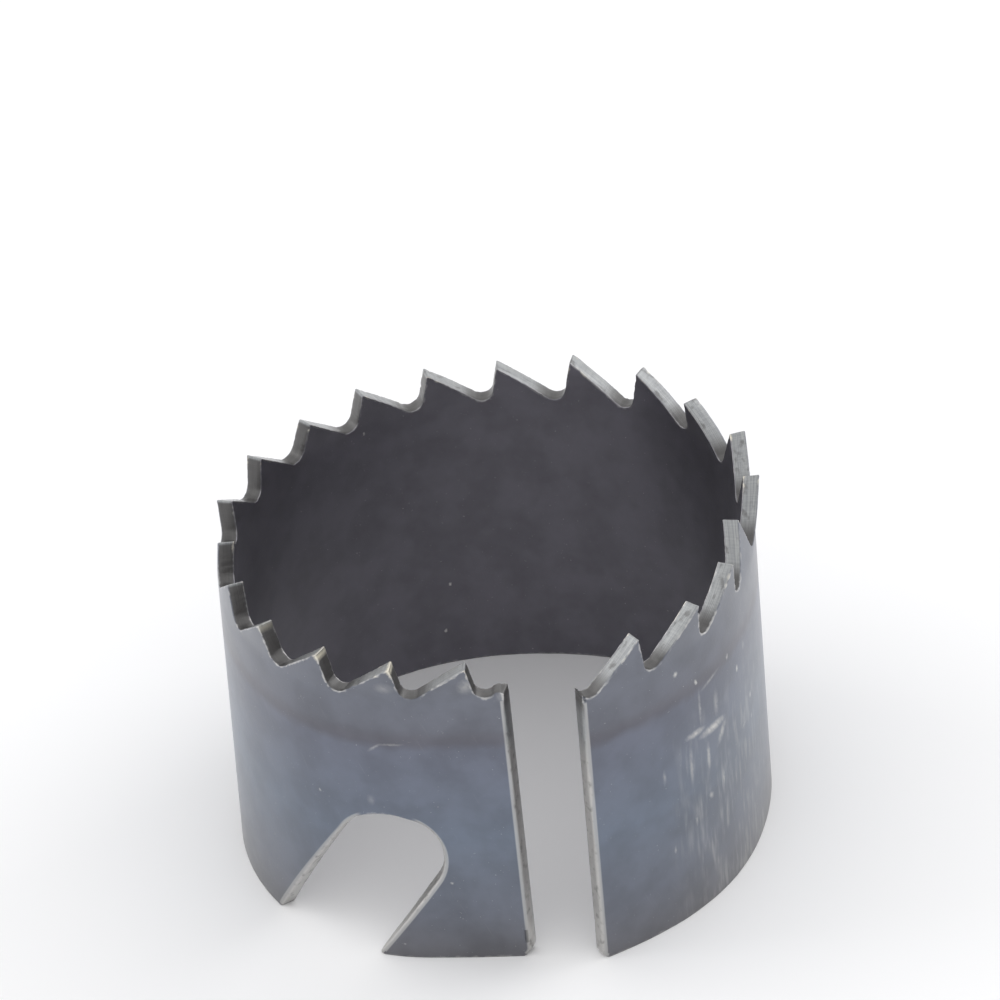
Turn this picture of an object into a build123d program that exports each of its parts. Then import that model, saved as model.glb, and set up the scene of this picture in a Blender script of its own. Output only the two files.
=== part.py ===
"""Ring blade of a lock-in hole saw: a toothed steel strip, punched flat and rolled into an open ring.

Frame: the origin is on the axis of the ring's round wall, in the plane of the base rim. Z runs up
to the teeth and the open gap faces -Y. Everything is in millimetres.
The ring is a used one: its right side has sprung out of round, into a shoulder with flatter walls
before and after it.
Positions along the strip are measured on the middle of its thickness, from the left end at the base,
round the ring clockwise as seen from above.
"""
from build123d import *
import os
from math import acos, asin, atan2, cos, degrees, hypot, radians, sin, tan

os.makedirs("parts", exist_ok=True)

# Strip and ring
ring_diameter = 44.0      # outside of the plain round wall
wall = 1.3                # thickness of the strip
gap = 5.5                 # opening between the two ends of the strip, at the base
left_tab_radius = 150.0   # the ends of a rolled strip stay nearly flat
right_tab_radius = 34.0
bend_radius = 14.6        # the strip bends tighter where the slot weakens it, middle of the wall
flat_radius = 28.5        # the sprung side: flatter wall, shoulder, slack wall and run-out, middle of the wall
shoulder_radius = 14.0
slack_radius = 28.0
run_out_radius = 21.0
left_lean = 1.35          # degrees the left end leans away from the gap
right_lean = 0.5          # degrees the right end leans into the gap
left_corner = 0.8         # radius of the left end's lower corner
right_corner = 0.5        # radius of the right end's lower corner
stub_corner = 0.45        # rounding on the cut-off tooth at the left end
stub_rise = 0.6           # that rounding's corner above the gullet bottoms

# Teeth
gullet_height = 25.8      # base rim to the bottom of a gullet
tooth_depth = 3.3         # gullet bottom to tooth tip
tooth_pitch = 6.0         # spacing on the middle of the wall, a target in the round wall
tab_pitch = 5.85          # spacing in the tabs and the tight bend
gullet_radius = 0.9
rake_lean = 10.0          # degrees the cutting face leans back
tip_land = 0.12           # flat left on a tooth tip
tooth_set = 0.45          # sideways bend of a set tip
set_cycle = (1, 0, -1)    # outwards, straight, inwards, over and over from the first whole tooth
set_line = 0.15           # height of the bending line of the set above the gullets
first_gullet = 2.1        # left end to the first gullet
last_overrun = 0.6        # last gullet to the right end
bend_teeth = 2            # pitches in the tight bend and in each stretch of the sprung side
flat_teeth = 2
shoulder_teeth = 2
slack_teeth = 3
run_out_teeth = 2

# Slanted lock slot, open at the base rim
slot_width = 8.5
slot_slope = 56.0         # degrees between the slot and the base rim
slot_along = 10.65        # left end to the centre of the slot's round end
slot_height = 9.95        # base rim to the centre of the slot's round end

# Room for the cutting tools
spare = 1.0               # tool running past a face
reach = 3.0               # tool reaching beyond the middle of the wall, each side
slot_steps = 4            # levels that carry each straight stretch of the slot round the bend
slot_top_stop = 0.1       # those levels end this far below the slot's highest straight point


def outward(turn):
    """Unit vector away from the ring, turned clockwise from -Y by an angle in degrees."""
    return Vector(-sin(radians(turn)), -cos(radians(turn)), 0)


def polar(point):
    """Distance from the axis and clockwise angle from -Y of a point."""
    return hypot(point.X, point.Y), degrees(atan2(-point.X, -point.Y))


# The strip in plan is a chain of arcs that run smoothly into each other:
# left tab, tight bend at the slot, round wall, the stretches of the sprung side, right tab.
ring_radius = (ring_diameter - wall) / 2
left_length = first_gullet + tab_pitch
bend_length = bend_teeth * tab_pitch
right_length = tab_pitch + last_overrun
bend_turn = degrees(bend_length / bend_radius)
left_turn = degrees(left_length / left_tab_radius)
sprung_side = [
    (flat_radius, flat_teeth),
    (shoulder_radius, shoulder_teeth),
    (slack_radius, slack_teeth),
    (run_out_radius, run_out_teeth),
]


def bend_centre(turn):
    """Centre of the tight bend that runs into the round wall at the given angle."""
    return outward(turn) * (ring_radius - bend_radius)


def left_centre(turn):
    """Centre of the left tab's long arc, for a bend that ends at the given angle."""
    return bend_centre(turn) + outward(turn - bend_turn) * (bend_radius - left_tab_radius)


def right_chain(turn):
    """Arcs after a round wall that ends at the given angle, and the point where the last one ends.

    Each arc is its centre, its radius, the angle at its start and its length.
    """
    chain = []
    centre = Vector(0, 0, 0)
    radius = ring_radius
    stretches = [(each_radius, teeth * tooth_pitch) for each_radius, teeth in sprung_side]
    for next_radius, length in stretches + [(right_tab_radius, right_length)]:
        centre = centre + outward(turn) * (radius - next_radius)
        radius = next_radius
        chain.append((centre, radius, turn, length))
        turn = turn + degrees(length / radius)
    return chain, centre + outward(turn) * radius


# Both ends are first worked out from the round wall, then the wall is turned to leave the gap.
left_reach, left_angle = polar(left_centre(0) + outward(-bend_turn - left_turn) * left_tab_radius)
right_reach, right_angle = polar(right_chain(0)[1])
gap_turn = degrees(acos((left_reach**2 + right_reach**2 - gap**2) / (2 * left_reach * right_reach)))
wall_start = gap_turn / 2 - left_angle
wall_end = 360 - gap_turn / 2 - right_angle
wall_length = radians(wall_end - wall_start) * ring_radius
wall_teeth = round(wall_length / tooth_pitch)
wall_pitch = wall_length / wall_teeth

# Each arc: centre, radius, angle at its start, position of its start along the strip
arcs = []
arc_start = 0
for centre, radius, turn, length in [
    (left_centre(wall_start), left_tab_radius, wall_start - bend_turn - left_turn, left_length),
    (bend_centre(wall_start), bend_radius, wall_start - bend_turn, bend_length),
    (Vector(0, 0, 0), ring_radius, wall_start, wall_length),
] + right_chain(wall_end)[0]:
    arcs.append((centre, radius, turn, arc_start))
    arc_start += length
strip_length = arc_start

# Bottoms of the gullets along the strip, with the number of the arc that holds the tooth before it
gullets = [(first_gullet, 0), (left_length, 0)]
sprung_teeth = [(tooth_pitch, teeth) for _, teeth in sprung_side]
teeth_by_arc = [(tab_pitch, bend_teeth), (wall_pitch, wall_teeth)] + sprung_teeth + [(tab_pitch, 1)]
for arc, (spacing, count) in enumerate(teeth_by_arc, start=1):
    for _ in range(count):
        gullets.append((gullets[-1][0] + spacing, arc))


def arc_at(along):
    """Number of the arc that holds a position along the strip."""
    return max(i for i, arc in enumerate(arcs) if i == 0 or along >= arc[3])


def direction(along):
    """Outward direction of the wall at a position along the strip."""
    _, radius, turn, start = arcs[arc_at(along)]
    return outward(turn + degrees((along - start) / radius))


def place(along, depth=0.0, height=0.0):
    """Point of the rolled strip: position along it, distance out from its middle, height."""
    centre, radius, _, _ = arcs[arc_at(along)]
    return centre + direction(along) * (radius + depth) + Vector(0, 0, height)


def tangent_plane(along):
    """Plane lying in the wall: x along the strip, y up, looking from inside the ring."""
    out = direction(along)
    return Plane(origin=place(along), x_dir=out.cross(Vector(0, 0, 1)), z_dir=-out)


def face_side(depth):
    """Points of the outer or inner face in plan, two ends and a middle for each arc."""
    stops = [-spare] + [arc[3] for arc in arcs[1:]] + [strip_length + spare]
    points = [place(stops[0], depth)]
    for start, end in zip(stops, stops[1:]):
        points += [place((start + end) / 2, depth), place(end, depth)]
    return points


def strip_face(points):
    """Draws the chain of arcs through the points of one face."""
    for i in range(0, len(points) - 2, 2):
        ThreePointArc(points[i], points[i + 1], points[i + 2])


tip_height = gullet_height + tooth_depth
set_height = gullet_height + set_line
tip_lead = gullet_radius / cos(radians(rake_lean)) + (tooth_depth - gullet_radius) * tan(radians(rake_lean))

with BuildPart() as blade:
    # Plain wall up to the bending line of the set
    with BuildSketch():
        with BuildLine():
            outer = face_side(wall / 2)
            inner = face_side(-wall / 2)
            strip_face(outer)
            strip_face(inner)
            Line(outer[0], inner[0])
            Line(outer[-1], inner[-1])
        make_face()
    extrude(amount=set_height)

    # One band for each tooth, its top pushed outwards, left straight or pushed inwards by the set
    stops = [(-spare, 0)] + gullets + [(strip_length + spare, len(arcs) - 1)]
    for i in range(1, len(stops)):
        start = stops[i - 1][0]
        length = stops[i][0] - start
        centre, radius, turn, along_start = arcs[stops[i][1]]
        turn = turn + degrees((start - along_start) / radius)
        lean = tooth_set * set_cycle[(i - 2) % len(set_cycle)]
        if i in (1, len(stops) - 1):
            lean = 0
        with BuildSketch(Plane(origin=centre, x_dir=outward(turn), z_dir=outward(turn + 90))):
            with BuildLine():
                Polyline(
                    (radius - wall / 2, set_height - spare),
                    (radius + wall / 2, set_height - spare),
                    (radius + wall / 2, set_height),
                    (radius + wall / 2 + lean, tip_height),
                    (radius - wall / 2 + lean, tip_height),
                    (radius - wall / 2, set_height),
                    close=True,
                )
            make_face()
        revolve(axis=Axis(centre, (0, 0, -1)), revolution_arc=degrees(length / radius))

    # Gullets: straight cutting face, round bottom, sloping back of the tooth before
    for i, (along, _) in enumerate(gullets):
        spacing = tab_pitch if i == 0 else along - gullets[i - 1][0]
        back = spacing - tip_lead - tip_land
        rise = tooth_depth - gullet_radius
        slope = degrees(atan2(rise, back) + asin(gullet_radius / hypot(rise, back)))
        middle = along + (tip_lead - back) / 2
        shift = along - middle
        centre_height = gullet_height + gullet_radius
        with BuildSketch(tangent_plane(middle)):
            with BuildLine():
                face_foot = (
                    shift + gullet_radius * cos(radians(rake_lean)),
                    centre_height - gullet_radius * sin(radians(rake_lean)),
                )
                back_foot = (
                    shift - gullet_radius * sin(radians(slope)),
                    centre_height - gullet_radius * cos(radians(slope)),
                )
                ThreePointArc(back_foot, (shift, gullet_height), face_foot)
                Polyline(
                    face_foot,
                    (shift + tip_lead, tip_height),
                    (shift + tip_lead + spare * tan(radians(rake_lean)), tip_height + spare),
                    (shift - back, tip_height + spare),
                    (shift - back, tip_height),
                    back_foot,
                )
            make_face()
        extrude(amount=reach, both=True, mode=Mode.SUBTRACT)

    # Leaning ends
    for along, lean, side in ((0, left_lean, -1), (strip_length, right_lean, 1)):
        with BuildSketch(tangent_plane(along)):
            with BuildLine():
                Polyline(
                    (-spare * tan(radians(lean)), -spare),
                    ((tip_height + spare) * tan(radians(lean)), tip_height + spare),
                    (side * reach, tip_height + spare),
                    (side * reach, -spare),
                    close=True,
                )
            make_face()
        extrude(amount=reach, both=True, mode=Mode.SUBTRACT)

    # Slanted slot: its sides stay square to the curved wall, so it is built from level sections
    run = 1 / tan(radians(slot_slope))
    across = slot_width / 2 / sin(radians(slot_slope))
    upper_end = slot_height + slot_width / 2 * cos(radians(slot_slope))
    lower_end = slot_height - slot_width / 2 * cos(radians(slot_slope))

    def near_side(height):
        """Side of the slot nearest the gap, then the line across to its round end."""
        straight = slot_along + (slot_height - height) * run - across
        return straight if height <= lower_end else straight + (height - lower_end) * (run + tan(radians(slot_slope)))

    def far_side(height):
        """Side of the slot away from the gap."""
        return slot_along + (slot_height - height) * run + across

    for low, high in ((-spare, lower_end), (lower_end, upper_end - slot_top_stop)):
        for step in range(slot_steps + 1):
            height = low + (high - low) * step / slot_steps
            with BuildSketch(Plane.XY.offset(height)):
                with BuildLine():
                    Polyline(
                        *[
                            Vector(point.X, point.Y)
                            for point in (
                                place(near_side(height), -reach),
                                place(near_side(height), reach),
                                place(far_side(height), reach),
                                place(far_side(height), -reach),
                            )
                        ],
                        close=True,
                    )
                make_face()
        loft(mode=Mode.SUBTRACT)

    # Round end of the slot, narrower inside the ring than outside because the wall is curved
    end_plane = tangent_plane(slot_along)
    for depth in (-reach, reach):
        with BuildSketch(end_plane.offset(-depth)):
            with Locations((0, slot_height)):
                half_width = (bend_radius + depth) * tan(slot_width / 2 / bend_radius)
                Ellipse(half_width, slot_width / 2)
    loft(mode=Mode.SUBTRACT)

    # Rounded corners at the two ends
    stub_height = gullet_height + stub_rise
    for along, height, radius in (
        (0, 0, left_corner),
        (strip_length, 0, right_corner),
        (stub_height * tan(radians(left_lean)), stub_height, stub_corner),
    ):
        corner = place(along, 0, height)
        fillet(blade.edges().sort_by_distance(corner)[0], radius=radius)

blade.part.label = "ring_blade"
export_step(blade.part, "parts/ring_blade.step")

solid = blade.part.solids()[0]
print("arcs", round(wall_start, 2), round(wall_end, 2), "teeth in the round wall", wall_teeth)
print("strip", round(strip_length, 2), "pitch", round(wall_pitch, 3), "solids", len(blade.part.solids()))
print("box", blade.part.bounding_box(), "valid", solid.is_valid, "volume", round(solid.volume, 1))
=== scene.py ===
# %% [markdown]
# A ring blade of a lock-in hole saw
#
# The real thing is one strip of spring steel. It is punched flat, with its teeth along the top and a
# slanted slot at the bottom, and then rolled into an open ring. The imported part holds that shape at its
# real size. This lesson makes the same strip again as a fine mesh, with the rough punched edges, the
# bent teeth and the finish that the eye looks for, and lights it on a pale floor.
#
# The first cell loads the part as a fixed frame.

# %% Load the frame
import bpy
import math
import numpy as np
from mathutils.geometry import delaunay_2d_cdt
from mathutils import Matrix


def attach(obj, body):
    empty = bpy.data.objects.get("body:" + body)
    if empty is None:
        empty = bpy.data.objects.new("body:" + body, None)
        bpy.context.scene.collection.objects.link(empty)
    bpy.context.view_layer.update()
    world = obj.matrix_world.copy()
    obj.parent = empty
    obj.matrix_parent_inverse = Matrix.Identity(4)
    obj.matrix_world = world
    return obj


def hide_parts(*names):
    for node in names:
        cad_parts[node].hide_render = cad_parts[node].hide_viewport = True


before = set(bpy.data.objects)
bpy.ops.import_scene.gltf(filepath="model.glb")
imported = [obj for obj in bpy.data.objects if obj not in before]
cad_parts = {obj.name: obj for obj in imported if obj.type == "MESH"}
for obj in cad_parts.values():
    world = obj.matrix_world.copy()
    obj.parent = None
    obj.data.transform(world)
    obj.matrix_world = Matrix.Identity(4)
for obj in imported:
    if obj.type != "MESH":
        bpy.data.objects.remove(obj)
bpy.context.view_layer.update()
MM = 0.001

# %% [markdown]
# The strip's sizes
#
# Everything is worked out in millimetres on the flat strip: "along" runs from the left end at the base,
# "height" from the base rim to the teeth, "depth" from the middle of the sheet towards the outside of
# the ring. The sizes are those of the real strip, the same as in the part. They could be read off the
# part's mesh, but named values show which size drives what.

# %% Name the sizes of the strip
ring_diameter, wall, gap = 44.0, 1.3, 5.5
left_tab_radius, bend_radius, right_tab_radius = 150.0, 14.6, 34.0
sprung_radii, sprung_teeth = np.array([28.5, 14.0, 28.0, 21.0]), np.array([2, 2, 3, 2])
left_lean, right_lean = math.radians(1.35), math.radians(0.5)
gullet_height, tooth_depth, tooth_pitch, tab_pitch = 25.8, 3.3, 6.0, 5.85
gullet_radius, rake_lean, tip_land = 0.9, math.radians(10.0), 0.12
first_gullet, last_overrun, bend_teeth = 2.1, 0.6, 2
slot_width, slot_slope, slot_along, slot_height = 8.5, math.radians(56.0), 10.65, 9.95
left_corner, right_corner, stub_corner, mouth_corner = 0.8, 0.5, 0.45, 0.15
horn_corner, tip_back_corner, tip_front_corner = 0.02, 0.05, 0.04

ring_radius = (ring_diameter - wall) / 2
half_wall = wall / 2
tip_height = gullet_height + tooth_depth
print("tooth tips stand", tip_height, "mm above the base rim")

# %% [markdown]
# Rolling
#
# Seen from above, the rolled strip is a chain of arcs that run smoothly into each other: a nearly flat
# left tab, a tighter bend where the slot weakens the strip, the round wall, then the side that has
# sprung out of round in use (a flatter wall, a shoulder, a slack wall and a run-out), and the right tab.
# A Bend modifier could roll the strip, but only to one even arc. So one function carries any point of
# the flat strip to its place in the ring, and the mesh can be drawn flat, as the press draws it, and
# rolled afterwards, as the rolls do.


# %% Work out the chain of arcs
def outward(turn):
    """Unit vectors (-sin turn, -cos turn): away from the axis, turned clockwise from -Y seen from above."""
    return np.stack([-np.sin(turn), -np.cos(turn)], axis=-1)


def chain(first_turn, radii, stretch):
    """Centres and start turns of arcs that follow each other smoothly, and where the last one ends.

    Neighbours share a radius line where they meet, so a centre steps along it by the difference of the
    two radii, and the turn grows by length over radius. The first radius is the wall before the chain.
    """
    turns = first_turn + np.concatenate([[0.0], np.cumsum(stretch / radii[1:])])
    centres = np.cumsum(outward(turns[:-1]) * (radii[:-1] - radii[1:])[:, None], axis=0)
    return centres, turns[:-1], centres[-1] + outward(turns[-1]) * radii[-1]


left_radii = np.array([ring_radius, bend_radius, left_tab_radius])
left_stretch = -np.array([bend_teeth * tab_pitch, first_gullet + tab_pitch])
right_radii = np.concatenate([[ring_radius], sprung_radii, [right_tab_radius]])
right_stretch = np.append(sprung_teeth * tooth_pitch, tab_pitch + last_overrun)
left_end = chain(0.0, left_radii, left_stretch)[2]
right_end = chain(0.0, right_radii, right_stretch)[2]
left_reach, right_reach = np.hypot(*left_end), np.hypot(*right_end)
gap_turn = math.acos((left_reach**2 + right_reach**2 - gap**2) / (2 * left_reach * right_reach))
wall_start = gap_turn / 2 - math.atan2(-left_end[0], -left_end[1])
wall_end = 2 * math.pi - gap_turn / 2 - math.atan2(-right_end[0], -right_end[1])
wall_length = (wall_end - wall_start) * ring_radius
print("the round wall takes up", round(wall_length, 2), "mm of the strip")

# %% Line up the arcs and the gullets
left_centres, left_turns, _ = chain(wall_start, left_radii, left_stretch)
right_centres, right_turns, _ = chain(wall_end, right_radii, right_stretch)
arc_centres = np.concatenate([left_centres[::-1], [(0.0, 0.0)], right_centres])
arc_radii = np.concatenate([left_radii[:0:-1], [ring_radius], right_radii[1:]])
stretches = np.concatenate([-left_stretch[::-1], [wall_length], right_stretch])
arc_starts = np.cumsum(stretches) - stretches
left_starts = left_turns + left_stretch / left_radii[1:]
arc_turns = np.concatenate([left_starts[::-1], [wall_start], right_turns])
strip_length = stretches.sum()

wall_teeth = round(wall_length / tooth_pitch)
wall_pitch = wall_length / wall_teeth
spacings = np.repeat([first_gullet, tab_pitch, wall_pitch, tooth_pitch, tab_pitch],
                     [1, 1 + bend_teeth, wall_teeth, sprung_teeth.sum(), 1])
gullets = np.cumsum(spacings)
print("strip", round(strip_length, 2), "mm long with", len(gullets), "gullets")
print("the teeth of the round wall stand", round(wall_pitch, 3), "mm apart")


# %% Roll flat points into the ring
def roll(along, depth, height):
    """Centre of the arc plus (its radius + depth) outwards, at the turn start + length / radius."""
    along, depth, height = np.broadcast_arrays(along, depth, height)
    arc = np.clip(np.searchsorted(arc_starts, along, side="right") - 1, 0, len(arc_starts) - 1)
    turn = arc_turns[arc] + (along - arc_starts[arc]) / arc_radii[arc]
    level = arc_centres[arc] + outward(turn) * (arc_radii[arc] + depth)[..., None]
    return np.concatenate([level, height[..., None]], axis=-1)


def smooth(x):
    """Smooth step 3x^2 - 2x^3 from 0 at x = 0 to 1 at x = 1."""
    x = np.clip(x, 0.0, 1.0)
    return x * x * (3 - 2 * x)


ends = roll(np.array([0.0, strip_length]), 0.0, 0.0)
print("gap between the rolled ends:", round(float(np.linalg.norm(ends[1] - ends[0])), 3), "mm")

# %% [markdown]
# The punched outline
#
# The press cuts the blank in one blow, so its outline is one closed line: base rim, slot, right end,
# teeth, left end. It could be drawn as a curve, but then each tooth is placed by hand. Here it is
# written as corners, each with its own rounding, and one function rounds them all at once. A full-round
# slot end is two right-angled corners whose radius is half the slot's width.


# %% List the corners of the blank
def cross(a, b):
    """Flat cross product a_x b_y - a_y b_x."""
    return a[..., 0] * b[..., 1] - a[..., 1] * b[..., 0]


def meet(a, a_way, b, b_way):
    """Where two lines meet: a + t a_way, with t = (b - a) x b_way / (a_way x b_way)."""
    a, a_way, b, b_way = (np.asarray(v, float) for v in (a, a_way, b, b_way))
    return a + a_way * (cross(b - a, b_way) / cross(a_way, b_way))[..., None]


def heading(angle):
    """Unit vectors (cos angle, sin angle)."""
    return np.stack([np.cos(angle), np.sin(angle)], axis=-1)


rounds = np.stack([gullets, np.full(len(gullets), gullet_height + gullet_radius)], axis=-1)
tip_lead = gullet_radius / math.cos(rake_lean) + (tooth_depth - gullet_radius) * math.tan(rake_lean)
rise = tooth_depth - gullet_radius
backs = np.concatenate([[tab_pitch], np.diff(gullets)]) - tip_lead - tip_land
back_slopes = np.arctan2(rise, backs) + np.arcsin(gullet_radius / np.hypot(rise, backs))
back_ways = heading(math.pi - back_slopes)
back_feet = rounds + gullet_radius * heading(-math.pi / 2 - back_slopes)
face_way = heading(math.pi / 2 - rake_lean)
face_feet = rounds + gullet_radius * heading(-rake_lean)
gullet_corners = meet(face_feet, face_way, back_feet, back_ways)

tip_fronts = np.stack([gullets[:-1] + tip_lead, np.full(len(gullets) - 1, tip_height)], axis=-1)
tip_backs = tip_fronts + (tip_land, 0.0)
teeth = np.stack([tip_backs, tip_fronts, gullet_corners[:-1]], axis=1)[::-1].reshape(-1, 2)
stub = meet((0.0, 0.0), heading(math.pi / 2 - left_lean), back_feet[0], back_ways[0])
horn_rise = math.asin((last_overrun + gullet_height * math.tan(right_lean)) / gullet_radius)
horn = rounds[-1] + gullet_radius * heading(horn_rise - math.pi / 2)
last_gullet = meet(horn, heading(horn_rise), back_feet[-1], back_ways[-1])
print("the cut-off tooth at the left end is a stub at", np.round(stub, 2))

# %% Close the outline with the slot and the ends
slot_way = heading(math.pi - slot_slope)
slot_side = heading(math.pi / 2 - slot_slope) * slot_width / 2
slot_centre = np.array([slot_along, slot_height])
slot_top = slot_centre + slot_way * slot_width / 2
mouth = meet((0.0, 0.0), (1.0, 0.0), slot_centre + np.array([-slot_side, slot_side]), slot_way)

corners = np.concatenate([
    [(0.0, 0.0), mouth[0], slot_top - slot_side, slot_top + slot_side, mouth[1], (strip_length, 0.0)],
    [horn, last_gullet], teeth, [stub],
])
corner_radii = np.concatenate([
    [left_corner, mouth_corner, slot_width / 2, slot_width / 2, mouth_corner, right_corner],
    [horn_corner, gullet_radius - horn_corner],
    np.tile([tip_back_corner, tip_front_corner, gullet_radius], len(gullets) - 1),
    [stub_corner],
])
print(len(corners), "corners, the slot opens from", np.round(mouth[0], 2), "to", np.round(mouth[1], 2))


# %% Round the corners
def round_corners(points, radii, steps=16):
    """Closed line with every corner replaced by an arc.

    With u and v the unit vectors to the neighbours and 2a the angle between them, the arc's centre lies
    r / sin a along the bisector, and it turns by pi - 2a from centre towards the first tangent point.
    """
    u = np.roll(points, 1, axis=0) - points
    v = np.roll(points, -1, axis=0) - points
    u, v = (w / np.linalg.norm(w, axis=1, keepdims=True) for w in (u, v))
    half = np.arccos(np.clip((u * v).sum(axis=1), -1, 1)) / 2
    bisector = (u + v) / np.linalg.norm(u + v, axis=1, keepdims=True)
    centres = points + bisector * (radii / np.sin(half))[:, None]
    start = points + u * (radii / np.tan(half))[:, None] - centres
    sweep = np.sign(cross(v, u)) * (math.pi - 2 * half)
    angle = np.arctan2(start[:, 1], start[:, 0])[:, None] + sweep[:, None] * np.linspace(0, 1, steps)
    return (centres[:, None] + heading(angle) * radii[:, None, None]).reshape(-1, 2)


def lengths(line):
    """Length along a closed line at each of its points, with the whole length at the end."""
    steps = np.linalg.norm(np.roll(line, -1, axis=0) - line, axis=1)
    return np.concatenate([[0.0], np.cumsum(steps)])


def at_length(line, distance, here):
    """Points of a closed line at given lengths along it, by straight interpolation."""
    closed = np.concatenate([line, line[:1]])
    return np.stack([np.interp(here, distance, closed[:, i]) for i in range(closed.shape[1])], axis=-1)


drawn = round_corners(corners, corner_radii)
drawn_length = lengths(drawn)
outline_length = drawn_length[-1]
print("outline", round(outline_length, 1), "mm long")

# %% Space the points
# The points stand 0.125 mm apart on straight stretches and closer where the line turns: a turn of one
# radian counts as 0.3 mm more of line.
fine_step, mesh_step, turn_share = 0.02, 0.125, 0.3
fine_here = np.arange(0, outline_length, fine_step)
fine_closed = np.append(fine_here, outline_length)
fine = at_length(drawn, drawn_length, fine_here)
edge_way = np.roll(fine, -1, axis=0) - np.roll(fine, 1, axis=0)
edge_way /= np.linalg.norm(edge_way, axis=1, keepdims=True)
turning = np.abs(cross(edge_way, np.roll(edge_way, -1, axis=0)))
effort = np.concatenate([[0.0], np.cumsum(fine_step + turn_share * turning)])
count = int(effort[-1] / mesh_step)
here = np.interp(np.linspace(0, effort[-1], count, endpoint=False), effort, fine_closed)
print("outline drawn with", count, "points")

# %% [markdown]
# Rough edges
#
# A punched edge isn't a clean line. The punch drags one rim of the cut round, tears the other into a
# burr, and the ground teeth are nicked. Bump in the material could hint at that, but a rim stands
# against the light, so its shape has to be real. A periodic noise made by blurring random numbers gives
# such lines a chosen grain size in millimetres, and it closes on itself at the end of the outline.


# %% Make noise with a grain size
def blur(values, grain):
    """Periodic Gaussian blur along the outline: each wave k is weakened by exp(-(k grain)^2 / 2)."""
    wave = np.fft.rfftfreq(len(values), fine_step) * 2 * math.pi
    spectrum = np.fft.rfft(values, axis=0)
    weight = np.exp(-(wave * grain) ** 2 / 2)
    return np.fft.irfft(spectrum * weight.reshape(-1, *[1] * (values.ndim - 1)), len(values), axis=0)


def grainy(grain, seed):
    """Blurred random numbers along the outline, with mean 0 and deviation 1, read at the mesh points."""
    line = blur(np.random.default_rng(seed).standard_normal(len(fine)), grain)
    line = (line - line.mean()) / line.std()
    return np.interp(here, fine_here, line)


# The way inwards is blurred too, so that the profile fans out round a sharp corner.
fan_grain, tooth_fade = 0.4, 0.6
inward = blur(np.stack([-edge_way[:, 1], edge_way[:, 0]], axis=-1), fan_grain)
inward /= np.linalg.norm(inward, axis=1, keepdims=True)
outline = at_length(fine, fine_closed, here)
inward = at_length(inward, fine_closed, here)
inward /= np.linalg.norm(inward, axis=1, keepdims=True)
toothed = smooth((outline[:, 1] - gullet_height + tooth_fade) / tooth_fade)
sideways = smooth((np.abs(inward[:, 0]) - 0.3) / 0.4) * (1 - toothed)
print("points on the teeth:", int((toothed > 0.5).sum()))
print("points on upright edges:", int((sideways > 0.5).sum()))

# %% [markdown]
# The edge, a profile carried along the outline
#
# The profile starts on the outer face a little inside the edge, rounds over the rim, crosses the cut and
# rounds back on to the inner face. Each of its points is a distance in from the outline and a depth. A
# Bevel modifier would round every rim alike. A profile lets each rim be as it is: the punch has drawn
# the outer rim round by 0.3 mm along the slot and the ends, has left it nearly sharp elsewhere, and at
# the left end the sheet has torn on a slant, so that the inner rim stands out a little further.

# %% Carry the edge profile along the outline
outer_rim, inner_rim, drawn_rim, torn_reach, nick_depth = 0.07, 0.05, 0.24, 0.32, 0.012
margin = 0.3 + 0.2 * sideways
bite = 0.5 * margin + 0.15 * sideways
sharp_round = np.clip(outer_rim + 0.02 * grainy(0.5, 1), 0.03, 0.16)
outer_round = sharp_round + (drawn_rim + 0.03 * grainy(1.2, 6)) * sideways
inner_round = np.clip(inner_rim + 0.015 * grainy(0.5, 2), 0.02, 0.12)
quarter = 1 - math.sqrt(0.5)
nick_outer = nick_depth * np.abs(grainy(0.12, 3)) * (0.4 + 1.6 * toothed)
nick_inner = nick_depth * np.abs(grainy(0.12, 4)) * (0.4 + 1.6 * toothed)
nick_middle = 0.010 * np.abs(grainy(0.15, 5)) * (0.4 + 1.2 * toothed)
torn_out = torn_reach * smooth((1.2 - outline[:, 0]) / 0.4) * smooth((inward[:, 0] - 0.5) / 0.4)
profile = [
    (margin, half_wall),
    (bite, half_wall),
    (nick_outer + outer_round, half_wall),
    (nick_outer + outer_round * quarter, half_wall - outer_round * quarter),
    (nick_outer, half_wall - outer_round),
    (nick_middle - 0.3 * torn_out, 0.2),
    (nick_middle * 0.6 + nick_inner * 0.4 - 0.7 * torn_out, -0.22),
    (nick_inner - torn_out, inner_round - half_wall),
    (nick_inner + inner_round * quarter - torn_out, inner_round * quarter - half_wall),
    (nick_inner + inner_round - torn_out, -half_wall),
    (bite - torn_out, -half_wall),
    (margin - 0.5 * torn_out, -half_wall),
]
zero = np.zeros(count)
inset = np.stack([p[0] for p in profile])
edge_depth = np.stack([zero + p[1] for p in profile])
edge_flat = outline + inward * inset[..., None]
rows = len(profile)
print("edge surface:", rows, "rows of", count, "points")

# %% [markdown]
# The two faces
#
# Each face is the same function of two parameters, along and height, so one grid serves both. Cutting a
# grid with a Boolean would leave long thin triangles that shade badly. Here the grid's rows are
# staggered, points near the outline are dropped, and a Delaunay triangulation joins the rest to the edge
# surface. Blender's own flat triangulator does that and keeps the outline's line as a limit.

# %% Fill the faces with a trimmed grid
grid_step, clearance = 0.65, 0.4
row_step = grid_step * math.sqrt(3) / 2
border = edge_flat[0]
row_count, column_count = int(tip_height / row_step) + 1, int(strip_length / grid_step) + 2
row_index, column_index = np.mgrid[0:row_count, 0:column_count]


def node(row, column):
    """Grid point: every second row is shifted by half a step."""
    return np.stack([(column + 0.5 * (row % 2)) * grid_step, row * row_step], axis=-1)


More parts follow.
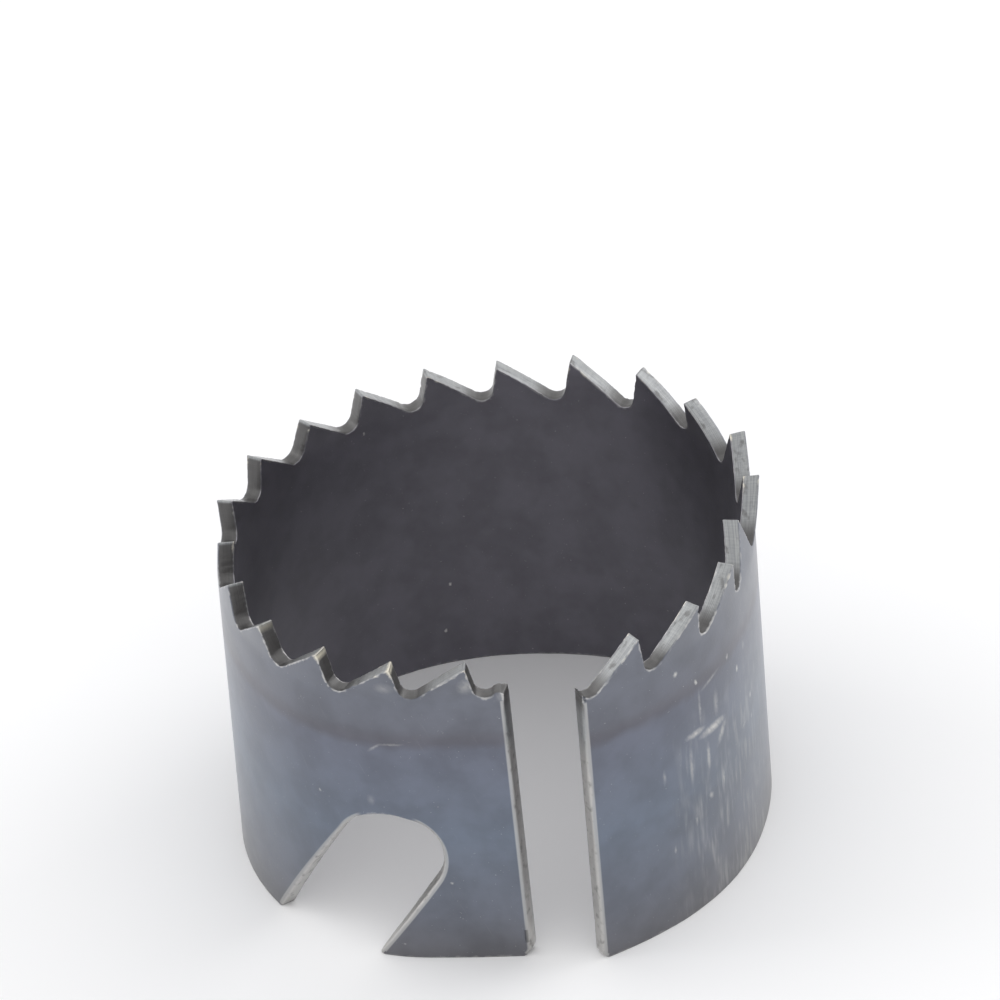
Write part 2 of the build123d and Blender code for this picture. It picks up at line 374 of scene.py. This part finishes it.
near_row = np.rint(border[:, 1] / row_step).astype(int)
near_column = np.rint(border[:, 0] / grid_step - 0.5 * (near_row % 2)).astype(int)
near_row, near_column = np.clip(near_row, 0, row_count - 1), np.clip(near_column, 0, column_count - 1)
too_near = np.linalg.norm(node(near_row, near_column) - border, axis=1) < clearance * grid_step
kept = np.ones((row_count, column_count), bool)
kept[near_row[too_near], near_column[too_near]] = False
grid = node(row_index, column_index)[kept]
flat_points, _, triangles, _, _, _ = delaunay_2d_cdt(
    np.concatenate([border, grid]).tolist(), [], [list(range(count))], 1, 1e-6)
triangles = np.array(triangles)
flat_points = np.array([tuple(p) for p in flat_points])
print("face grid:", len(flat_points), "points,", len(triangles), "triangles")

# %% [markdown]
# Setting the teeth
#
# The teeth are bent sideways one after the other, so that the cut is wider than the strip. The bend
# starts just above the gullets and grows towards the tip. On a used ring no two teeth stand alike: some
# have been pushed over, and some stand a little higher or lower. They could be bent one by one with
# hooks or shape keys. One lean and one rise for each tooth, in order from the left end, say the same
# and let the mesh stay a single formula.

# %% Bend the teeth
tooth_lean = np.array([-0.30, 0.85, 0.75, 0.40, 0.55, 0.10, -0.30, 0.38, 0.08, -0.70, -0.43,
                       -0.37, -0.41, 0.60, 0.05, -0.68, 0.65, 0.62, -0.90, 0.20, 0.60, 0.18, 0.0])
tooth_rise = np.zeros(len(tooth_lean))
tooth_rise[6:9] = -0.15, -0.35, -0.15
tooth_rise[14] = 0.2
tooth_rise[19:22] = 0.1, 0.35, 0.3
change_width, set_line, bend_power, past_the_ends = 0.5, 25.6, 1.15, 9.0


def of_tooth(values, along, height):
    """Each tooth's value times its share of the height to a power, blended across the gullets."""
    before = np.searchsorted(gullets, along)
    left_gullet = np.append(-past_the_ends, gullets)[before]
    right_gullet = np.append(gullets, strip_length + past_the_ends)[before]
    own = values[before]
    to_left = values[np.maximum(before - 1, 0)] - own
    to_right = values[np.minimum(before + 1, len(gullets))] - own
    value = own + to_left * 0.5 * (1 - smooth((along - left_gullet) / change_width))
    value = value + to_right * 0.5 * (1 - smooth((right_gullet - along) / change_width))
    return value * np.clip((height - set_line) / (tip_height - set_line), 0, 1) ** bend_power


def rolled(flat, depth):
    """A flat point with its tooth's bend and rise added, rolled into the ring, in metres."""
    along, height = flat[..., 0], flat[..., 1]
    lean, rise_here = of_tooth(tooth_lean, along, height), of_tooth(tooth_rise, along, height)
    return roll(along, depth + lean, height + rise_here) * MM


print("teeth lean from", tooth_lean.min(), "to", tooth_lean.max(), "mm at their tips")

# %% [markdown]
# Joining the edge and the faces
#
# The edge surface is a band of quads that closes on itself. The faces take its first and last rows as
# their borders, so the shell has no gap and no doubled points. Two pieces laid against each other would
# be simpler, but would show a seam in the shading. Each point also keeps measures that the finish will
# read: its place on the flat strip, how far it lies from the edge, and which way the edge looks there.

# %% Put the strip together
used = np.unique(triangles)
fresh = used[used >= count]
edge_total = rows * count
face_total = len(fresh)


def face_triangles(first_border, first_inside, flip):
    """Triangles of one face: border points belong to the edge surface, inside points come after it."""
    place = np.zeros(len(flat_points), int)
    place[:count] = first_border + np.arange(count)
    place[fresh] = first_inside + np.arange(face_total)
    return place[triangles][:, ::-1] if flip else place[triangles]


row, column = np.mgrid[0:rows - 1, 0:count]
after = (column + 1) % count
quads = np.stack([row * count + column, (row + 1) * count + column,
                  (row + 1) * count + after, row * count + after], axis=-1).reshape(-1, 4)
outer_face = face_triangles(0, edge_total, False)
inner_face = face_triangles((rows - 1) * count, edge_total + face_total, True)
inside = flat_points[fresh]
face_depth = np.full(face_total, half_wall)
points = np.concatenate([
    rolled(edge_flat, edge_depth).reshape(-1, 3),
    rolled(inside, face_depth),
    rolled(inside, -face_depth),
])
blade_mesh = bpy.data.meshes.new("ring_blade_detail")
blade_mesh.from_pydata(points.tolist(), [], quads.tolist() + outer_face.tolist() + inner_face.tolist())
blade_mesh.polygons.foreach_set("use_smooth", np.ones(len(blade_mesh.polygons), bool))
print("triangles:", 2 * len(quads) + len(outer_face) + len(inner_face))
print("mesh box in mm:", np.round(points.min(0) / MM, 2), np.round(points.max(0) / MM, 2))


# %% Keep measures on the points
def keep(name, values, kind="FLOAT", field="value"):
    """Store one measure for each point of the mesh under a name that the material can read."""
    blade_mesh.attributes.new(name, kind, "POINT").data.foreach_set(field, np.ravel(values))


def on_edge(values, elsewhere=0.0):
    """A measure known on the edge surface, with one value for all points inside the faces."""
    return np.concatenate([np.ravel(values), np.full(2 * face_total, elsewhere)])


far_from_edge = 1.5
keep("flat", np.concatenate([
    np.concatenate([edge_flat, edge_depth[..., None]], axis=-1).reshape(-1, 3),
    np.column_stack([inside, face_depth]),
    np.column_stack([inside, -face_depth]),
]), "FLOAT_VECTOR", "vector")
keep("facing_up", on_edge(np.tile(np.clip(-inward[:, 1], 0, 1), rows)))
keep("sideways", on_edge(np.tile(sideways, rows)))
keep("from_edge", on_edge(inset, far_from_edge))
print("each of", len(blade_mesh.vertices), "points keeps its place on the flat strip")

blade = bpy.data.objects.new("ring_blade_detail", blade_mesh)
bpy.context.scene.collection.objects.link(blade)
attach(blade, "root")
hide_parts("ring_blade")
print(blade.name, "stands in for the part's ring_blade")

# %% [markdown]
# The finish
#
# The strip is hardened and then tempered in air, which leaves a thin blue-grey oxide. A film of oil lies
# over it. So the steel is a dark metal under a clear coat: the coat is what makes the sides of the ring
# pale where they are seen at a grazing angle. A photograph wrapped round the ring would carry its own
# light with it. Patterns made of nodes don't, and each one here reads the place on the flat strip, in
# millimetres, so that grain sizes are real ones and nothing stretches where the strip is bent.


# %% Make a helper for nodes
def linear(hex_colour):
    """sRGB hex to linear: c / 12.92 below 0.04045, else ((c + 0.055) / 1.055) ^ 2.4."""
    shades = [int(hex_colour[i:i + 2], 16) / 255 for i in (1, 3, 5)]
    return [c / 12.92 if c <= 0.04045 else ((c + 0.055) / 1.055) ** 2.4 for c in shades] + [1.0]


def add(kind, inputs, **settings):
    """Add one shader node, apply its settings, set or link its inputs, and give its outputs."""
    made = tree.nodes.new("ShaderNode" + kind)
    for name, value in settings.items():
        setattr(made, name, value)
    for socket, value in inputs.items():
        if isinstance(value, bpy.types.NodeSocket):
            tree.links.new(value, made.inputs[socket])
        else:
            made.inputs[socket].default_value = value
    return made.outputs


# Blued spring steel, oiled: a dark, soft blue-grey with a broad sheen, bare and pale where it is rubbed.
blued_steel = bpy.data.materials.new("blued_spring_steel_oiled")
blued_steel.use_nodes = True
tree = blued_steel.node_tree
flat = add("Attribute", {}, attribute_name="flat")["Vector"]
inset_here = add("Attribute", {}, attribute_name="from_edge")["Fac"]
looks_up = add("Attribute", {}, attribute_name="facing_up")["Fac"]
upright_edge = add("Attribute", {}, attribute_name="sideways")["Fac"]
along, height, depth = add("SeparateXYZ", {"Vector": flat})
print("linear value of mid grey:", [round(c, 3) for c in linear("#808080")])

# %% [markdown]
# Masks
#
# A mask is a number from 0 to 1 that says how much of a finish shows at a point. Masks could be painted
# by hand, but then they only fit one mesh. Here a mask is a product: eased steps pick a region of the
# strip, and noise stretched to a grain size in millimetres breaks it up.


# %% Make masks
def where(*masks):
    """Product of masks. One written (value, low, high) is an eased step: 0 at low and 1 at high."""
    product = None
    for mask in masks:
        if isinstance(mask, tuple):
            value, low, high = mask
            mask = add("MapRange", {"Value": value, "From Min": low, "From Max": high},
                       interpolation_type="SMOOTHSTEP")[0]
        product = mask if product is None else add("Math", {0: product, 1: mask}, operation="MULTIPLY")[0]
    return product


def strongest(*masks):
    """The largest of several masks at each point."""
    top = masks[0]
    for mask in masks[1:]:
        top = add("Math", {0: top, 1: mask}, operation="MAXIMUM")[0]
    return top


def grains(size, low, high, turn=0.0, detail=2.0):
    """Mask of noise with grains of a size in mm (along, height, depth), turned in the strip's plane."""
    place = add("Mapping", {"Vector": flat, "Rotation": (0, 0, turn), "Scale": size},
                vector_type="TEXTURE")[0]
    return where((add("TexNoise", {"Vector": place, "Scale": 1.0, "Detail": detail})[0], low, high))


cloud_size, mottle_size = 3.5, 0.8
cloudy = grains((cloud_size, cloud_size, 1.0), 0.35, 0.65)
mottled = grains((mottle_size, mottle_size, 1.0), 0.3, 0.7, detail=4.0)
print("the oxide is mottled in grains from", mottle_size, "to", cloud_size, "mm")

# %% [markdown]
# Temper colours
#
# The teeth were hardened again on their own, and the heat stopped at a line about 21.7 mm above the base
# rim. Below it the oxide is blue-grey, the line itself is duller and darker, and above it the colour
# turns to a greyer purple. Inside the ring the oxide is thicker, darker and more neutral. A colour ramp
# over the height is the plainest way to say that, with a little noise added to the height so that no
# band runs straight.

# %% Colour the oxide by height
temper = [(0.0, "#66666B"), (4.5, "#676C78"), (12.0, "#667080"), (20.6, "#646978"), (21.4, "#5B5C67"),
          (21.9, "#5E5F69"), (22.7, "#646772"), (25.5, "#676B76")]
inside_oxide, wave_height = "#6C6A73", 0.8
wobble = add("TexNoise", {"Vector": flat, "Scale": 0.7, "Detail": 3.0})["Color"]
wavy = add("VectorMath", {0: wobble, 1: (wave_height, wave_height, 0.0), 2: flat},
           operation="MULTIPLY_ADD")[0]
wavy_height = add("SeparateXYZ", {"Vector": wavy})["Y"]
height_share = add("MapRange", {"Value": wavy_height, "From Min": wave_height / 2,
                                "From Max": tip_height + wave_height / 2})[0]
bands = tree.nodes.new("ShaderNodeValToRGB")
tree.links.new(height_share, bands.inputs[0])
stops = bands.color_ramp.elements
for number, (level, colour) in enumerate(temper):
    stop = stops[number] if number < 2 else stops.new(level / tip_height)
    stop.position, stop.color = level / tip_height, linear(colour)
inner_side, outer_side = where((depth, 0.2, -0.2)), where((depth, -0.2, 0.2))
oxide = add("Mix", {0: inner_side, 6: bands.outputs["Color"], 7: linear(inside_oxide)}, data_type="RGBA")[2]
blotches = add("Math", {0: mottled, 1: 0.55, 2: cloudy}, operation="MULTIPLY_ADD")[0]
shade = add("MapRange", {"Value": blotches, "From Max": 1.55, "To Min": 0.83, "To Max": 1.10})[0]
oxide = add("HueSaturation", {"Value": shade, "Color": oxide})[0]
print(len(temper), "temper colours up the strip")

# %% [markdown]
# Marks
#
# Turning in the wood has rubbed the oxide off in single scratches, scuffs and dots. They could be drawn
# on an image, but an image blurs close up. A mark here is an ellipse laid on the flat strip: its
# coordinates are scaled so that the ellipse becomes a unit ball, and a soft ball is its mask. Places and
# half sizes are in mm, measured on the real blade's pictures, followed by its turn and its strength.


# %% Scratch the oxide
def mark(place, size, degrees, strength, depth_size=0.5, face=half_wall):
    """Mask of one soft elliptical mark: its strength in the middle, 0 at its edge; half sizes in mm."""
    inside_mark = add("Mapping", {"Vector": scraped, "Location": (*place, face),
                                  "Rotation": (0, 0, math.radians(degrees)), "Scale": (*size, depth_size)},
                      vector_type="TEXTURE")[0]
    return where(add("TexGradient", {"Vector": inside_mark}, gradient_type="SPHERICAL")["Fac"], strength)


fray = 0.16
fine_wobble = add("TexNoise", {"Vector": flat, "Scale": 5.0, "Detail": 1.0})["Color"]
scraped = add("VectorMath", {0: fine_wobble, 1: (fray, fray, 0.0), 2: flat}, operation="MULTIPLY_ADD")[0]
left_scratch = [((11.2, 20.9), (0.8, 0.16), -38, 0.6), ((9.9, 21.3), (1.2, 0.14), -4, 0.35)]
left_dots = [((11.8, 15.6), (0.4, 0.6), 0, 0.25), ((16.3, 15.2), (0.16, 0.2), 0, 0.9),
             ((6.0, 7.6), (0.16, 0.16), 0, 0.9), ((10.1, 1.4), (0.16, 0.12), 0, 0.8)]
right_dots = [((119.2, 24.1), (0.3, 0.32), 0, 1.2), ((117.0, 22.0), (0.18, 0.34), -20, 1.8),
              ((112.5, 21.5), (0.2, 0.36), 0, 1.2), ((110.9, 19.2), (0.2, 0.44), 0, 1.4),
              ((108.3, 14.7), (0.25, 0.4), 0, 1.1), ((108.3, 12.6), (0.2, 0.3), 0, 1.0),
              ((109.3, 20.3), (0.25, 0.5), 0, 0.5), ((116.0, 10.2), (0.35, 0.5), -30, 0.8)]
scuffs = [((115.2, 21.1), (1.5, 0.22), -14, 0.5), ((115.2, 16.4), (2.1, 0.55), 3, 1.3),
          ((117.4, 17.2), (1.4, 0.42), 5, 1.1), ((114.0, 15.2), (0.5, 1.5), 35, 0.8),
          ((110.1, 13.1), (0.7, 0.22), -12, 0.6)]
upright_rubs = [((116.7, 19.2), (0.2, 2.2), 0, 0.6), ((118.1, 14.4), (0.3, 2.4), 0, 0.7),
                ((116.0, 14.0), (0.3, 1.7), 0, 1.0), ((114.6, 18.4), (0.4, 1.6), 0, 0.5),
                ((117.9, 9.0), (0.2, 1.0), 0, 0.6), ((120.4, 7.4), (0.15, 0.5), 0, 0.9),
                ((121.0, 14.9), (0.2, 0.9), 0, 0.5), ((114.2, 10.8), (0.3, 1.2), 0, 0.8)]
inside_dots = [((63.3, 8.0), (0.14, 0.2), 0, 2.2, 0.5, -half_wall),
               ((62.6, 3.4), (0.16, 0.22), 0, 2.4, 0.5, -half_wall),
               ((56.8, 25.2), (0.14, 0.2), 0, 1.8, 0.5, -half_wall)]
bared_corners = [((0.5, 26.0), (0.9, 0.9), 0, 0.7), ((3.6, 27.3), (0.8, 1.1), 20, 0.6),
                 ((10.0, 27.0), (0.9, 0.7), 0, 0.35)]
marks = left_scratch + left_dots + right_dots + scuffs + upright_rubs + inside_dots + bared_corners
broken = grains((0.30, 0.7, 1.0), 0.30, 0.60, turn=math.radians(-30))
broken_share = add("MapRange", {"Value": broken, "To Min": 0.6, "To Max": 1.15})[0]
scratched = where(strongest(*[mark(*one) for one in marks]), broken_share)
print(len(marks), "marks")

# %% [markdown]
# Wear
#
# Where the ring drags in the wood, the sprung side is rubbed pale in short streaks up the wall. The rims
# are partly rubbed bare and partly a painted highlight, stronger on the teeth and near the gap. Streaks are
# noise with long grains. Rims are found by distance: every point knows how far it lies from the edge and
# from the faces, and both together are small only at a rim. Hairlines and specks on real steel are a few
# hundredths of a millimetre wide; here they are drawn about 0.1 mm wide, coarser than the real ones,
# because finer ones would vanish in the picture.

# %% Drag streaks up the sprung side
dragged = where((along, 99.0, 112.0), (along, 122.0, 116.0), (height, 21.0, 13.5))
streaks = where(grains((0.42, 3.4, 1.0), 0.40, 0.74), grains((2.0, 3.2, 1.0), 0.36, 0.62))
streaks_on_haze = add("Math", {0: streaks, 1: 0.80, 2: 0.10}, operation="MULTIPLY_ADD")[0]
haze = where(dragged, outer_side, streaks_on_haze)
hairline_width, speck_size = 0.09, 0.16
hairlines = where(grains((hairline_width, 5.0, 1.0), 0.71, 0.79, turn=math.radians(-24)), outer_side)
specks = grains((speck_size, speck_size, 0.4), 0.73, 0.78)
print("hairlines", hairline_width, "mm wide, specks", speck_size, "mm")

# %% Wear the rims bright and paint their highlight
bare_steel_and_highlight, chip_share, rim_starts, rim_full = "#C4C3C0", 0.55, -0.08, -0.24
depth_size = add("Math", {0: depth}, operation="ABSOLUTE")[0]
from_faces = add("Math", {0: depth_size, 1: -1.0, 2: half_wall}, operation="MULTIPLY_ADD")[0]
rim_distance = add("Math", {0: inset_here, 1: from_faces}, operation="ADD")[0]
chipped = add("TexNoise", {"Vector": flat, "Scale": 1.9, "Detail": 5.0})[0]
rim_reach = add("Math", {0: chipped, 1: -chip_share, 2: rim_distance}, operation="MULTIPLY_ADD")[0]
rim = where((rim_reach, rim_starts, rim_full))
# Painted highlight: the rim colour is made stronger on the teeth and on the half of the ring near the gap,
# where the rims catch the light; the chipped rest of it is rubbed-bare steel.
on_teeth = where((height, 19.0, 25.5))
front = strongest(where((along, 40.0, 22.0)), where((along, 105.0, 113.0)))
rim_wear_and_highlight_strength = add("MapRange", {"Value": where(on_teeth, front), "To Min": 0.34, "To Max": 0.75})[0]
rim_wear_and_highlight_strength = where(rim_wear_and_highlight_strength, grains((2.2, 2.2, 1.5), 0.30, 0.58))
rim_worn_and_highlit = where(rim, rim_wear_and_highlight_strength)
drawn_round = where((rim_distance, 0.42, 0.30), (upright_edge, 0.2, 0.8), outer_side, 0.55)
worn_and_highlit = strongest(rim_worn_and_highlit, where(scratched, 0.75), where(haze, 0.40), drawn_round,
                 where(hairlines, 0.10), where(specks, 0.6))
bared_and_highlit = add("Mix", {0: worn_and_highlit, 6: oxide, 7: linear(bare_steel_and_highlight)}, data_type="RGBA")[2]
print("rims worn bright up to about", round(chip_share / 2 + rim_starts, 2), "mm from the edge")

# %% [markdown]
# The cut faces
#
# The press leaves the cut edges bare: pale grey, with torn streaks across the sheet. The teeth are ground
# as well, which leaves lines along them. The gullets and the cut faces that don't look up are darkened to
# a brown-black, which is painted shade, with patches of sawdust and old oil. The upright cut faces low
# down at the gap ends and the slot are painted paler, a painted highlight. Some tips carry a pale burr,
# which is also painted brighter as a highlight. One bright metal for all of it would look like card, so two
# noises with long grains are crossed, one for each tool. Real grinding lines are about 0.03 mm apart and
# torn streaks 0.05 mm; they are drawn at 0.06 and 0.12 mm, coarser than real, so that they show.

# %% Streak the cut faces
cut_dark, cut_pale, end_painted_light, oil_and_shade_brown = "#85878A", "#A6A8A8", "#CBC8C4", "#4A4746"
torn_width, ground_width, ground_height = 0.12, 0.06, 27.2
cut = where((from_faces, 0.02, 0.12))
torn = grains((torn_width, torn_width, 2.0), 0.34, 0.70)
ground_lines = grains((3.0, 3.0, ground_width), 0.36, 0.66)
streaked = add("Math", {0: where(torn, 0.28), 1: where(ground_lines, 0.72)}, operation="ADD")[0]
steel_cut = add("Mix", {0: streaked, 6: linear(cut_dark), 7: linear(cut_pale)}, data_type="RGBA")[2]
# Painted highlight: the upright cut faces low down, at the gap ends and the slot, are painted paler, as if
# lit low from the front.
end_painted_light_mask = where((upright_edge, 0.2, 0.8), (height, 22.5, 19.0), 0.6)
steel_cut = add("Mix", {0: end_painted_light_mask, 6: steel_cut, 7: linear(end_painted_light)}, data_type="RGBA")[2]
ground = where((looks_up, 0.45, 0.85), (height, 26.0, ground_height), on_teeth)
unground = add("Math", {0: ground, 1: -1.0, 2: 1.0}, operation="MULTIPLY_ADD")[0]
# Painted shade: the gullets and the cut faces that don't look up, from 23.5 mm upwards, are darkened
# towards the brown-black; the random patches on the next line are sawdust and old oil.
gullet_painted_shade = where(unground, (height, 23.5, 25.6), 0.85)
patchy = grains((0.9, 0.9, 0.6), 0.52, 0.72, detail=4.0)
oil_and_painted_shade = strongest(gullet_painted_shade, where(patchy, 0.55))
steel_cut = add("Mix", {0: oil_and_painted_shade, 6: steel_cut, 7: linear(oil_and_shade_brown)}, data_type="RGBA")[2]
not_rim_worn_and_highlit = add("Math", {0: rim_worn_and_highlit, 1: -1.0, 2: 1.0}, operation="MULTIPLY_ADD")[0]
colour = add("Mix", {0: where(cut, not_rim_worn_and_highlit), 6: bared_and_highlit, 7: steel_cut}, data_type="RGBA")[2]
print("tooth backs ground bright above", ground_height, "mm")

# %% Leave burrs and a painted highlight on the tips
burr_and_highlight_pale, burr_highlight_size, through_sheet = "#DDD8C8", (0.35, 0.5), 4.0
burr_highlight_tips = [((9.35, 29.0), 2.0), ((15.2, 28.9), 1.5), ((21.05, 28.9), 0.6)]
# Partly real burr and partly a painted highlight: the top rims of the teeth and three tips near the left
# end are painted a pale cream.
burr_and_highlight = where(rim, (height, 27.6, 29.0), grains((1.2, 1.2, 0.8), 0.50, 0.64))
tips = [mark(place, burr_highlight_size, 0, strength, through_sheet) for place, strength in burr_highlight_tips]
burr_and_highlight = strongest(burr_and_highlight, *tips)
colour = add("Mix", {0: where(burr_and_highlight, 0.8), 6: colour, 7: linear(burr_and_highlight_pale)}, data_type="RGBA")[2]
print("burrs across", len(burr_highlight_tips), "tips")

# %% [markdown]
# Sheen and relief
#
# Rubbed steel and the rims painted with a highlight are smoother than the oxide, and the oiled and
# painted-shade parts of the cut faces are rougher, so the masks drive the roughness as well as the colour.
# Pits and lines are only hundredths of a millimetre deep. A mesh that fine would be huge, so bump gives
# them, with the deepest at 0.04 mm.

# %% Put the surface together
pit_depth = 0.04 * MM
roughness = add("MapRange", {"Value": worn_and_highlit, "To Min": 0.44, "To Max": 0.33})[0]
roughness = add("Math", {0: mottled, 1: 0.07, 2: roughness}, operation="MULTIPLY_ADD")[0]
roughness = add("Math", {0: oil_and_painted_shade, 1: where(cut, 0.2), 2: roughness}, operation="MULTIPLY_ADD")[0]
pits = add("TexNoise", {"Vector": flat, "Scale": 3.5, "Detail": 5.0})[0]
relief = add("Math", {0: worn_and_highlit, 1: -0.25, 2: pits}, operation="MULTIPLY_ADD")[0]
relief = add("Math", {0: where(cut, streaked), 1: 0.9, 2: relief}, operation="MULTIPLY_ADD")[0]
normal = add("Bump", {"Strength": 0.35, "Distance": pit_depth, "Height": relief})[0]
surface = tree.nodes["Principled BSDF"]
surface.inputs["Metallic"].default_value = 1.0
surface.inputs["Coat Weight"].default_value = 1.0
surface.inputs["Coat Roughness"].default_value = 0.38
for socket, value in (("Base Color", colour), ("Roughness", roughness), ("Normal", normal)):
    tree.links.new(value, surface.inputs[socket])
blade_mesh.materials.append(blued_steel)
print("steel material has", len(tree.nodes), "nodes")

# %% [markdown]
# The stage
#
# The ring stands on a plain white floor under an even sky, as in a light tent, with a weak softbox on
# each side. Two strong lamps would give hard glints that oiled oxide doesn't show. The even light is
# what leaves the inside of the ring dark and its floor a mid grey.

# %% Lay the floor
floor_size = 3.0
half_floor = floor_size / 2
floor_corners = [(x * half_floor, y * half_floor, 0.0) for x, y in ((-1, -1), (1, -1), (1, 1), (-1, 1))]
floor_mesh = bpy.data.meshes.new("floor")
floor_mesh.from_pydata(floor_corners, [], [(0, 1, 2, 3)])
floor = bpy.data.objects.new("floor", floor_mesh)
bpy.context.scene.collection.objects.link(floor)

# White background paper: matt and nearly white, so that only the shadow of the ring draws on it.
paper = bpy.data.materials.new("white_paper")
paper.use_nodes = True
card = paper.node_tree.nodes["Principled BSDF"]
card.inputs["Base Color"].default_value = linear("#F7F7F8")
card.inputs["Roughness"].default_value = 0.9
floor_mesh.materials.append(paper)
print("floor", floor_size, "m wide")

# %% Place the lights
world = bpy.data.worlds.new("soft_room")
bpy.context.scene.world = world
world.use_nodes = True
world.node_tree.nodes["Background"].inputs["Color"].default_value = linear("#FFFFFF")
world.node_tree.nodes["Background"].inputs["Strength"].default_value = 1.0


def soft_light(name, place, size, power):
    """A square softbox at a place in metres, turned so that it faces the middle of the ring."""
    data = bpy.data.lights.new(name, "AREA")
    data.size, data.energy = size, power
    lamp = bpy.data.objects.new(name, data)
    lamp.location = place
    away = np.array(place) - (0, 0, 15 * MM)
    tilt = math.acos(away[2] / np.linalg.norm(away))
    lamp.rotation_euler = (tilt, 0, math.atan2(away[1], away[0]) + math.pi / 2)
    bpy.context.scene.collection.objects.link(lamp)
    print(name, "of", power, "W")


soft_light("left_softbox", (-0.8, 0.3, 0.45), 0.6, 1.6)
soft_light("right_softbox", (0.8, 0.2, 0.45), 0.6, 1.8)

# %% [markdown]
# The camera
#
# The picture is taken from in front of the gap, 35 degrees down, through a long lens, so the ring shows
# hardly any perspective. The camera's place and turns are given about the ring, and the three directions
# of its frame (right, up, back) are worked out from them, which is plainer than guessing Euler angles.

# %% Set the camera
view_turn, view_down = math.radians(9.271), math.radians(35.592)
view_yaw, view_roll = math.radians(0.073), math.radians(-4.588)
view_place = np.array([0.0, -777.46, 587.01]) * MM
lens, sensor = 432.0, 36.0


def turned(angle, vector):
    """A vector turned about Z: (x cos + y sin, y cos - x sin, z)."""
    x, y, z = vector
    cosine, sine = math.cos(angle), math.sin(angle)
    return np.array([x * cosine + y * sine, y * cosine - x * sine, z])


level = np.array([math.sin(view_yaw), math.cos(view_yaw), 0.0])
ahead = level * math.cos(view_down) - np.array([0.0, 0.0, math.sin(view_down)])
across = np.array([math.cos(view_yaw), -math.sin(view_yaw), 0.0])
above = np.cross(across, ahead)
right = math.cos(view_roll) * across + math.sin(view_roll) * above
up = math.cos(view_roll) * above - math.sin(view_roll) * across
pose = np.eye(4)
for column_number, side in enumerate((right, up, -ahead, view_place)):
    pose[:3, column_number] = turned(view_turn, side)

camera_data = bpy.data.cameras.new("camera")
camera_data.sensor_width, camera_data.lens = sensor, lens
camera_data.clip_start, camera_data.clip_end = 0.05, 10.0
camera = bpy.data.objects.new("camera", camera_data)
bpy.context.scene.collection.objects.link(camera)
camera.matrix_world = pose.T.tolist()
bpy.context.scene.camera = camera
bpy.context.scene.view_settings.view_transform = "Standard"
print("camera at", np.round(pose[:3, 3], 3), "m")

# %% [markdown]
# The last cell brings the scene up to date.

# %% Finish
bpy.context.view_layer.update()
